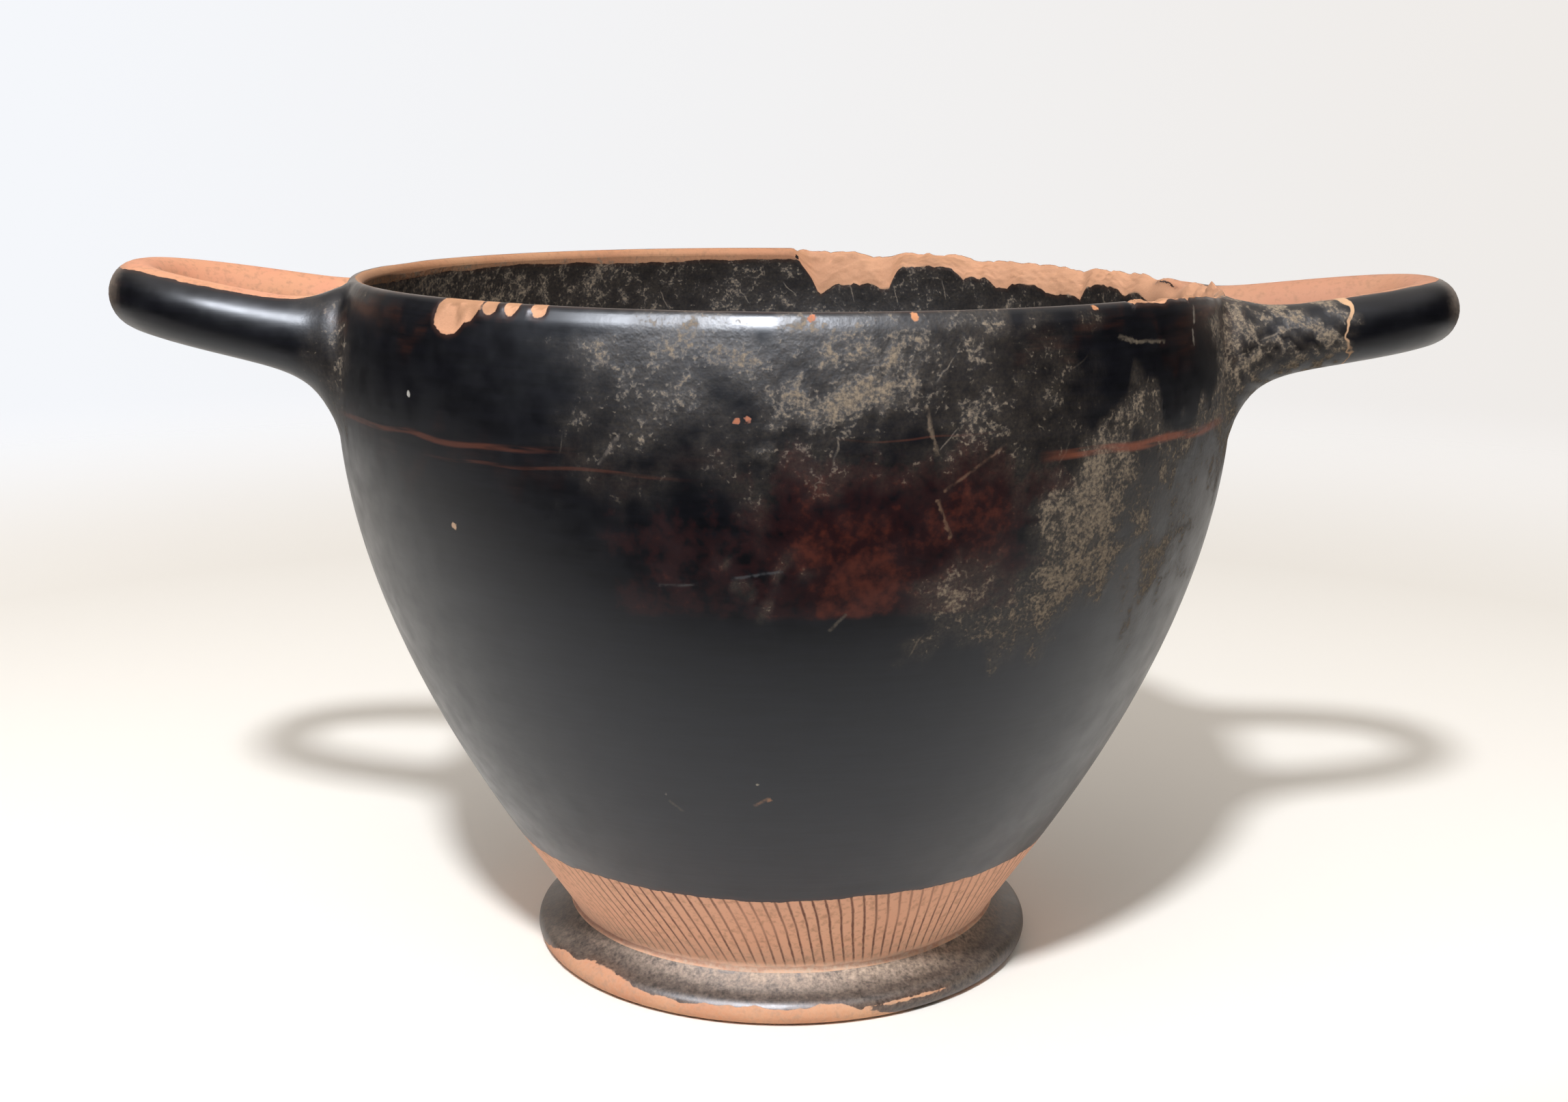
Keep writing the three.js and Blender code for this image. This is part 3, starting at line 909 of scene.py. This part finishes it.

# %% [markdown]
# ## The colour of the clay
#
# Attic clay fires to a warm orange. Clouds of it differ a little, pores and soil darken it in
# specks, and a fresh break is cleaner and lighter than a face that was handled for years. The
# kiln made the inside of the handles redder. The zone above the foot is painted paler, as painted
# light where the lamp only grazes it, and the right side is painted duller, as painted shade where
# the lamp's light falls off.

# %% Clay colours
cloud_mix = node(RANGE, cloud, 0.35, 0.65)
red_cloud = node(RANGE, cloud, 0.45, 0.62, 0.0, 0.5)
off_axis = node(MATH, x, operation="ABSOLUTE")
on_loop = node(RANGE, off_axis, 67, 72, 0.0, 0.9)
# painted shade: the clay is darkened towards the right, where the lamp's light falls off
right_painted_shade = node(RANGE, x, 25, 72, 0.0, 0.55)
below_zone, over_stem, rays_start = [
    node(RANGE, z, low, high)
    for low, high in (
        (CLAY_ZONE_TOP + 2, CLAY_ZONE_TOP + 1),
        (STEM_HEIGHT - 1, STEM_HEIGHT + 0.5),
        (STEM_HEIGHT + 0.4, STEM_HEIGHT + 1.6),
    )
]
soiled_here = node(RANGE, speck, 0.5, 0.72, 0.0, 0.45)
clay_colour = paint_over(
    linear("#C2855F"),
    (cloud_mix, "#CB9770"),
    (overlap(red_cloud, on_loop), "#C4755A"),
    # painted shade on the right side of the clay
    (right_painted_shade, "#A2755A"),
    # painted light: the zone above the foot is lightened to stand in for the light it gets
    (overlap(below_zone, over_stem, 0.7), "#E6B193"),
    (soiled_here, "#8E684B"),
    (overlap(painted["fresh"], 0.75), "#C4906B"),
    (overlap(painted["thin"], 0.8), "#8E6238"),
)

# %% [markdown]
# ## The rays
#
# Above the foot the potter turned the cup and touched it with a fine brush, about 150 times. The
# rays are 0.3 mm wide and stand 1.7 mm apart, and they lean a little, because the wheel moved.
# The azimuth times the number of rays, plus the lean, counts them, and the fraction of that count
# is the place between two rays. Where the zone meets the foot runs a fine red line of thin slip.

# %% Rays
RAYS = 149
RAY_PITCH = 2 * math.pi * 40 / RAYS
RAY_EDGE = 0.28
RAY_LEAN = -5.3 / 360 * RAYS / (CLAY_ZONE_TOP - STEM_HEIGHT)
counted = node(MATH, turn_angle, RAYS / (2 * math.pi), operation="MULTIPLY")
below_top = node(MATH, CLAY_ZONE_TOP, z, operation="SUBTRACT")
leaning = node(MATH, below_top, RAY_LEAN, counted, operation="MULTIPLY_ADD")
wander = node(MATH, cloud, 0.6, leaning, operation="MULTIPLY_ADD")
fraction = node(MATH, wander, operation="FRACT")
from_middle = node(MATH, fraction, 0.5, operation="SUBTRACT")
off_ray = node(MATH, from_middle, operation="ABSOLUTE")
off_ray = node(MATH, off_ray, RAY_PITCH, operation="MULTIPLY")
off_ray = node(MATH, speck, 0.3, off_ray, operation="MULTIPLY_ADD")
ray = node(RANGE, off_ray, RAY_EDGE + 0.12, RAY_EDGE - 0.06)
rays_end = node(RANGE, z, CLAY_ZONE_TOP + 1, CLAY_ZONE_TOP + 0.5)
ray_fade = node(RANGE, cloud, 0.35, 0.55, 0.45, 0.95)
ray_here = overlap(ray, rays_start, outer_side, rays_end, ray_fade, painted["rays"])

joint_off = node(MATH, blot, 1.0, z, operation="MULTIPLY_ADD")
joint_off = node(MATH, joint_off, STEM_HEIGHT + 0.6, operation="SUBTRACT")
joint_off = node(MATH, joint_off, operation="ABSOLUTE")
joint_line = node(RANGE, joint_off, 0.45, 0.2, 0.0, 0.7)
rayed = paint_over(clay_colour, (ray_here, "#6A4030"), (overlap(joint_line, outer_side), "#8E4A30"))

# %% [markdown]
# ## Rubbed lines round the wall
#
# At the height of the handles' lower roots a worn red-brown line runs round the cup, with a
# fainter one just below. A line is where the height, with a slow wander added, comes within half a
# millimetre of a level, between two azimuths.

# %% Lines
LINES = (
    # level, half width, from azimuth, to azimuth, strength
    (86.9, 0.50, -160, -112, 0.36),
    (84.7, 0.30, -134, -98, 0.2),
    (86.6, 0.80, -62, -22, 1.0),
    (89.8, 0.16, -86, -66, 0.2),
)
slow = node(MATH, cloud, 2.2, -1.1, operation="MULTIPLY_ADD")
line_z = node(MATH, z, slow, operation="ADD")
line_here = 0.0
for level, half_width, az_from, az_to, strength in LINES:
    away = node(MATH, line_z, level, operation="SUBTRACT")
    away = node(MATH, away, operation="ABSOLUTE")
    band = node(RANGE, away, half_width, half_width * 0.4, 0.0, strength)
    begin, stop = [
        node(RANGE, azimuth_degrees, start_at, full_at)
        for start_at, full_at in ((az_from, az_from + 6), (az_to, az_to - 9))
    ]
    band = overlap(band, begin, stop)
    line_here = node(MATH, band, line_here, operation="MAXIMUM")
line_worn = node(RANGE, brush, 0.3, 0.55)
line_here = overlap(line_here, line_worn, outer_side)

# %% [markdown]
# ## Specks and root marks
#
# A few tiny pits, where the gloss popped off, show the clay, and two are filled with lime. Each is
# a small ball around a point of the wall, and its edge is roughened by the specks. Roots left
# short pale marks. A mark is a straight way along the wall, and the noise that is added to the
# place bends it. It is worn away here and there.

# %% Specks
SPECKS = (
    # azimuth, height, radius, colour
    (266.3, 92.2, 0.42, "#A85F38"),
    (265.2, 91.9, 0.28, "#A85F38"),
    (229.9, 75.7, 0.50, "#C2A184"),
    (223.3, 92.1, 0.35, "#A8A59E"),
    (266.7, 42.3, 0.22, "#9C9484"),
    (268.3, 39.8, 0.28, "#8E6A50"),
    (253.4, 39.6, 0.20, "#8C8478"),
    (273.0, 104.0, 0.55, "#B8683C"),
    (284.0, 104.1, 0.50, "#C08050"),
    (307.0, 104.2, 0.45, "#B87C50"),
)


def on_wall_at(at, level):
    """The point of the outer wall at an azimuth and a height."""
    r = float(outer_radius(level))
    return Vector((r * math.cos(math.radians(at)), r * math.sin(math.radians(at)), level))


skin_colour = paint_over(gloss_colour, (clay_here, rayed))
any_speck = 0.0
for at, level, size, colour in SPECKS:
    reach = node(VECTOR, mm, on_wall_at(at, level), operation="DISTANCE", output="Value")
    reach = node(MATH, speck, 1.2, reach, operation="MULTIPLY_ADD")
    dot = node(RANGE, reach, size + 0.7, size + 0.5)
    skin_colour = paint_over(skin_colour, (dot, colour))
    any_speck = node(MATH, dot, any_speck, operation="MAXIMUM")

# %% Root marks
MARKS = (
    # azimuth and height of both ends, half width, colour
    (310.1, 100.4, 313.0, 99.7, 0.26, "#6A5E4C"),
    (313.0, 99.7, 318.3, 99.2, 0.18, "#6A5E4C"),
    (326.9, 103.0, 326.4, 101.2, 0.26, "#8C8276"),
    (325.6, 100.0, 325.4, 98.1, 0.22, "#8C8276"),
    (284.8, 93.3, 286.1, 87.6, 0.20, "#6E5A42"),
    (287.1, 83.1, 293.3, 87.9, 0.16, "#6A4A30"),
    (286.3, 81.9, 288.0, 77.2, 0.20, "#75573C"),
    (250.5, 86.0, 252.7, 89.7, 0.20, "#54483C"),
    (275.3, 65.5, 276.9, 67.5, 0.18, "#5C5142"),
    (256.6, 71.0, 260.2, 71.3, 0.12, "#3A3936"),
    (264.6, 72.3, 269.9, 73.4, 0.16, "#33373A"),
    (253.7, 38.7, 255.4, 37.1, 0.16, "#5A5148"),
    (266.2, 38.8, 268.1, 40.0, 0.20, "#8E6A50"),
)
mark_bend = node(MATH, speck, 0.8, -0.4, operation="MULTIPLY_ADD")
mark_place = node(VECTOR, mm, mark_bend, operation="ADD")
mark_worn = node(RANGE, speck, 0.32, 0.56, 0.1, 0.62)
for from_at, from_level, to_at, to_level, half_width, colour in MARKS:
    begin = on_wall_at(from_at, from_level)
    way = on_wall_at(to_at, to_level) - begin
    from_begin = node(VECTOR, mark_place, begin, operation="SUBTRACT")
    per_way = way / way.length_squared
    along = node(VECTOR, from_begin, per_way, operation="DOT_PRODUCT", output="Value")
    along = node(RANGE, along)
    on_way = node(VECTOR, way, ("Scale", along), operation="SCALE")
    off_way = node(VECTOR, from_begin, on_way, operation="DISTANCE", output="Value")
    mark = node(RANGE, off_way, half_width + 0.15, half_width - 0.1, 0.0, mark_worn)
    skin_colour = paint_over(skin_colour, (mark, colour))
    any_speck = node(MATH, mark, any_speck, operation="MAXIMUM")
print(len(SPECKS), "specks and", len(MARKS), "root marks")

# %% [markdown]
# ## The mend
#
# The near limb of the right handle was once broken through and glued. The join is a thin crooked
# line of pale filler round the limb, wider on top.

# %% Mend
MEND_X = 80.1
mend_bend = node(MATH, blot, 5.0, -2.5, operation="MULTIPLY_ADD")
mend_off = node(MATH, x, MEND_X, operation="SUBTRACT")
mend_off = node(MATH, mend_off, mend_bend, operation="ADD")
mend_off = node(MATH, mend_off, operation="ABSOLUTE")
mend_width = node(RANGE, z, 98.5, 103, 0.12, 0.75)
mend_in = node(MATH, mend_width, mend_off, operation="SUBTRACT")
mend_here = node(RANGE, mend_in, -0.08, 0.08)
near_side = node(RANGE, y, -8.0, -9.0)
mend_here = overlap(mend_here, near_side)

# %% [markdown]
# ## Lime and soil
#
# The crust lies in fine worms, grains and blots that run together where it is thick, over a thin
# film that only dulls the black. A worm is where a noise crosses its middle value. The field
# `lime` is added, so a thick place passes the threshold nearly everywhere, and where there is no
# lime a gate keeps the noise out. The soft threshold leaves the crust half see-through, as if it
# had been rubbed.
#
# Scratch-like lines are the marks of roots: one straight stroke in each cell of a Voronoi
# pattern, at an angle that the cell's random colour gives.

# %% The crust
worm_noise = node(NOISE, ("Vector", mm), ("Scale", 1 / 1.9), ("Detail", 1.0), ("Roughness", 0.6))
worm_off = node(MATH, worm_noise, 0.5, operation="SUBTRACT")
worm_off = node(MATH, worm_off, operation="ABSOLUTE")
worm = node(RANGE, worm_off, 0.09, 0.0)
crust_noise = 0.0
for pattern, share in ((worm, 0.16), (speck, 0.8), (grit, 0.6), (blot, 1.0)):
    crust_noise = node(MATH, pattern, share, crust_noise, operation="MULTIPLY_ADD")
crust_noise = node(RANGE, crust_noise, 0.8, 1.6)
crust_depth = node(MATH, crust_noise, painted["lime"], operation="ADD")
crust_here = node(RANGE, crust_depth, 0.95, 1.4, 0.0, 0.9)
crust_gate = node(RANGE, painted["lime"], 0.03, 0.16)
crust_here = overlap(crust_here, crust_gate)

# %% Root strokes
CELL, STROKE_HALF_LENGTH, STROKE_HALF_WIDTH = 9.0, 2.2, 0.17
along_wall = node(MATH, turn_angle, BELLY_RADIUS, operation="MULTIPLY")
along_wall = node(MATH, blot, 2.4, along_wall, operation="MULTIPLY_ADD")
flat_place = node("ShaderNodeCombineXYZ", ("X", along_wall), ("Y", z))
cell_place, cell_colour = [
    node(
        "ShaderNodeTexVoronoi", ("Vector", flat_place), ("Scale", 1 / CELL),
        voronoi_dimensions="2D", output=name,
    )
    for name in ("Position", "Color")
]
from_cell = node(VECTOR, flat_place, cell_place, operation="SUBTRACT")
random_turn, random_gate = [
    node("ShaderNodeSeparateXYZ", cell_colour, output=axis) for axis in "XY"
]
stroke_turn = node(RANGE, random_turn, 0.0, 1.0, math.radians(-100), math.radians(-20))
stroke_place = node(
    "ShaderNodeVectorRotate", ("Vector", from_cell), ("Angle", stroke_turn), rotation_type="Z_AXIS"
)
in_stroke = []
for axis, half, full in (("X", STROKE_HALF_LENGTH, 0.6), ("Y", STROKE_HALF_WIDTH, 0.3)):
    off = node("ShaderNodeSeparateXYZ", stroke_place, output=axis)
    off = node(MATH, off, operation="ABSOLUTE")
    in_stroke.append(node(RANGE, off, half, half * full))
drawn = node(MATH, random_gate, 0.55, operation="GREATER_THAN")
root_gate = node(RANGE, painted["lime"], 0.08, 0.25, 0.0, 0.5)
root_here = overlap(root_gate, *in_stroke, drawn)
lime_here = node(MATH, crust_here, root_here, operation="MAXIMUM")

# %% The film and the dust
film_depth = node(MATH, blot, 0.7, painted["lime"], operation="MULTIPLY_ADD")
film_here = node(RANGE, film_depth, 0.35, 1.3, 0.0, 0.34)
film_gate = node(RANGE, painted["lime"], 0.02, 0.15)
film_here = overlap(film_here, film_gate)
lime_cover = node(MATH, lime_here, film_here, operation="MAXIMUM")
lime_tone = node(RANGE, grit, 0.35, 0.65)
lime_colour = paint_over(linear("#5A4F42"), (lime_tone, "#8E7D66"))

dust_noise = node(MATH, grit, speck, operation="ADD")
dust_noise = node(RANGE, dust_noise, 0.7, 1.3, 0.35, 1.25)
dust_here = overlap(dust_noise, painted["dust"])
dust_here = node(RANGE, dust_here, 0.02, 1.02, 0.0, 0.95)
skin_colour = paint_over(
    skin_colour,
    (mend_here, "#C79F78"),
    (lime_cover, lime_colour),
    (line_here, "#7E4732"),
    (dust_here, "#C8B29E"),
)

# %% [markdown]
# ## Sheen and relief
#
# Roughness follows the same masks, and so does the relief. The relief's height is in millimetres:
# brush marks a hundredth deep, pores in the clay a twentieth, and grains in the crust up to a
# fifth. The index of refraction of glass, 1.5, is set on the shader itself.

# %% Roughness and relief
CLAY_ROUGHNESS, LIME_ROUGHNESS = 0.85, 0.95
BRUSH_RELIEF, PORE_RELIEF, CRUST_RELIEF = 0.010, 0.05, 0.2
gloss_rough = node(RANGE, blot, 0.3, 0.7, 0.29, 0.38)
film = node(RANGE, painted["lime"], 0.0, 0.6, 0.0, 0.2)
rough = node(MATH, gloss_rough, film, operation="ADD")
matt_here = node(MATH, clay_here, mend_here, operation="MAXIMUM")
matt_here = node(MATH, matt_here, any_speck, operation="MAXIMUM")
crust_all = node(MATH, lime_here, dust_here, operation="MAXIMUM")
for cover, roughness in ((matt_here, CLAY_ROUGHNESS), (crust_all, LIME_ROUGHNESS)):
    rough = node(MIX, (0, cover), (2, rough), (3, roughness))

pores = node(RANGE, painted["bare"], -0.2, 0.2, 0.0, PORE_RELIEF)
crust = overlap(painted["lime"], CRUST_RELIEF)
relief = 0.0
for pattern, depth in ((brush, BRUSH_RELIEF), (grit, pores), (speck, crust)):
    relief = node(MATH, pattern, depth, relief, operation="MULTIPLY_ADD")
bump = node("ShaderNodeBump", ("Height", relief), ("Distance", MM), ("Strength", 1.0))

surface = node(
    "ShaderNodeBsdfPrincipled",
    ("Base Color", skin_colour),
    ("Roughness", rough),
    ("IOR", 1.5),
    ("Specular Tint", linear("#EEF4FF")),
    ("Normal", bump),
)
node("ShaderNodeOutputMaterial", ("Surface", surface))
cup.data.materials.clear()
cup.data.materials.append(skin)
print("skin:", len(tree.nodes), "nodes")

# %% [markdown]
# ## Table, lamp and room
#
# The cup stood on white paper in front of a white background, under one lamp above and behind the
# camera. The rings of the handles' shadows give the lamp's place. What lies in front of the paper
# was dark, and the gloss shows it: its upper half mirrors the dark, and its lower half the paper.
# So the paper ends a hand's breadth in front of the cup, and the lamp has a shade that keeps its
# light from the near edge.
#
# The gloss also mirrors the lamp's pale shade and a window on the left. Two soft lights that only
# the sheen sees stand for them, so they add no second shadow.
#
# The paper is lit less far from the lamp, so it is given a glow that grows with distance. Farther
# off it fades into the white background, so no edge shows.

# %% Paper
paper = bpy.data.materials.new("matt_white_paper")
paper.use_nodes = True
tree = paper.node_tree
tree.nodes.clear()
paper_place = node("ShaderNodeTexCoord", output="Object")
from_cup = node(VECTOR, paper_place, operation="LENGTH", output="Value")
glow = node(RANGE, from_cup, 0.3, 0.9, 0.0, 0.8)
fading = node(RANGE, from_cup, 0.32, 0.7, 1.0, 0.0, interpolation_type="SMOOTHSTEP")
sheet = node(
    "ShaderNodeBsdfPrincipled",
    ("Base Color", linear("#F0EFEC")),
    ("Roughness", 0.9),
    ("Emission Color", linear("#EAF2FF")),
    ("Emission Strength", glow),
    ("Alpha", fading),
)
node("ShaderNodeOutputMaterial", ("Surface", sheet))
PAPER_FRONT, PAPER_HALF_WIDTH, PAPER_BACK = -0.13, 1.0, 1.0
corners = [
    (side * PAPER_HALF_WIDTH, edge, 0)
    for side, edge in ((-1, PAPER_FRONT), (1, PAPER_FRONT), (1, PAPER_BACK), (-1, PAPER_BACK))
]
floor_mesh = bpy.data.meshes.new("floor")
floor_mesh.from_pydata(corners, [], [(0, 1, 2, 3)])
floor_mesh.materials.append(paper)
floor = bpy.data.objects.new("floor", floor_mesh)
bpy.context.scene.collection.objects.link(floor)

# %% Lamp
LAMP_PLACE = Vector((-64, -400, 520))
LAMP_AIM = Vector((0.08, 0.86, -0.5))
lamp = bpy.data.objects.new("lamp", bpy.data.lights.new("lamp", "SPOT"))
lamp.data.energy = 17.0
lamp.data.shadow_soft_size = 0.028
lamp.data.spot_size = math.radians(66)
lamp.data.spot_blend = 0.35
lamp_turn = LAMP_AIM.to_track_quat("-Z", "Y").to_matrix().to_4x4()
lamp.matrix_world = Matrix.Translation(MM * LAMP_PLACE) @ lamp_turn
bpy.context.scene.collection.objects.link(lamp)

SHEENS = (
    # place in mm, watts, radius in mm
    (LAMP_PLACE, 27.0, 110),
    (Vector((-384, -408, 540)), 22.0, 90),
)
for i, (place, watts, size) in enumerate(SHEENS):
    sheen = bpy.data.objects.new(f"sheen_{i}", bpy.data.lights.new(f"sheen_{i}", "POINT"))
    sheen.data.energy = watts
    sheen.data.shadow_soft_size = size * MM
    sheen.location = MM * place
    sheen.visible_diffuse = False
    bpy.context.scene.collection.objects.link(sheen)

# %% Room
world = bpy.data.worlds.new("studio")
bpy.context.scene.world = world
world.use_nodes = True
tree = world.node_tree
tree.nodes.clear()
direction = node("ShaderNodeTexCoord", output="Generated")
sideways, towards_back, upwards = [
    node("ShaderNodeSeparateXYZ", direction, output=axis) for axis in "XYZ"
]
back_wall = node(RANGE, towards_back, 0.5, 0.95, 0.01, 1.0, interpolation_type="SMOOTHSTEP")
ceiling = node(RANGE, upwards, 0.4, 0.8, 0.0, 0.85, interpolation_type="SMOOTHSTEP")
above_table = node(RANGE, upwards, -0.02, 0.02, 0.05)
room_light = node(MATH, back_wall, above_table, operation="MULTIPLY")
room_light = node(MATH, room_light, ceiling, operation="MAXIMUM")
seen = node("ShaderNodeLightPath", output="Is Camera Ray")
shown_light = node(MIX, (0, seen), (2, room_light), (3, 1.0))
across_back = node(RANGE, sideways, -0.35, 0.4)
back_colour = paint_over(linear("#F5F7FB"), (across_back, "#EFEBE7"))
shown_colour = paint_over(linear("#FFF5EA"), (seen, back_colour))
sky = node("ShaderNodeBackground", ("Color", shown_colour), ("Strength", shown_light))
node("ShaderNodeOutputWorld", ("Surface", sky))

# %% Finish
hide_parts("skyphos")
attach(cup, "root")
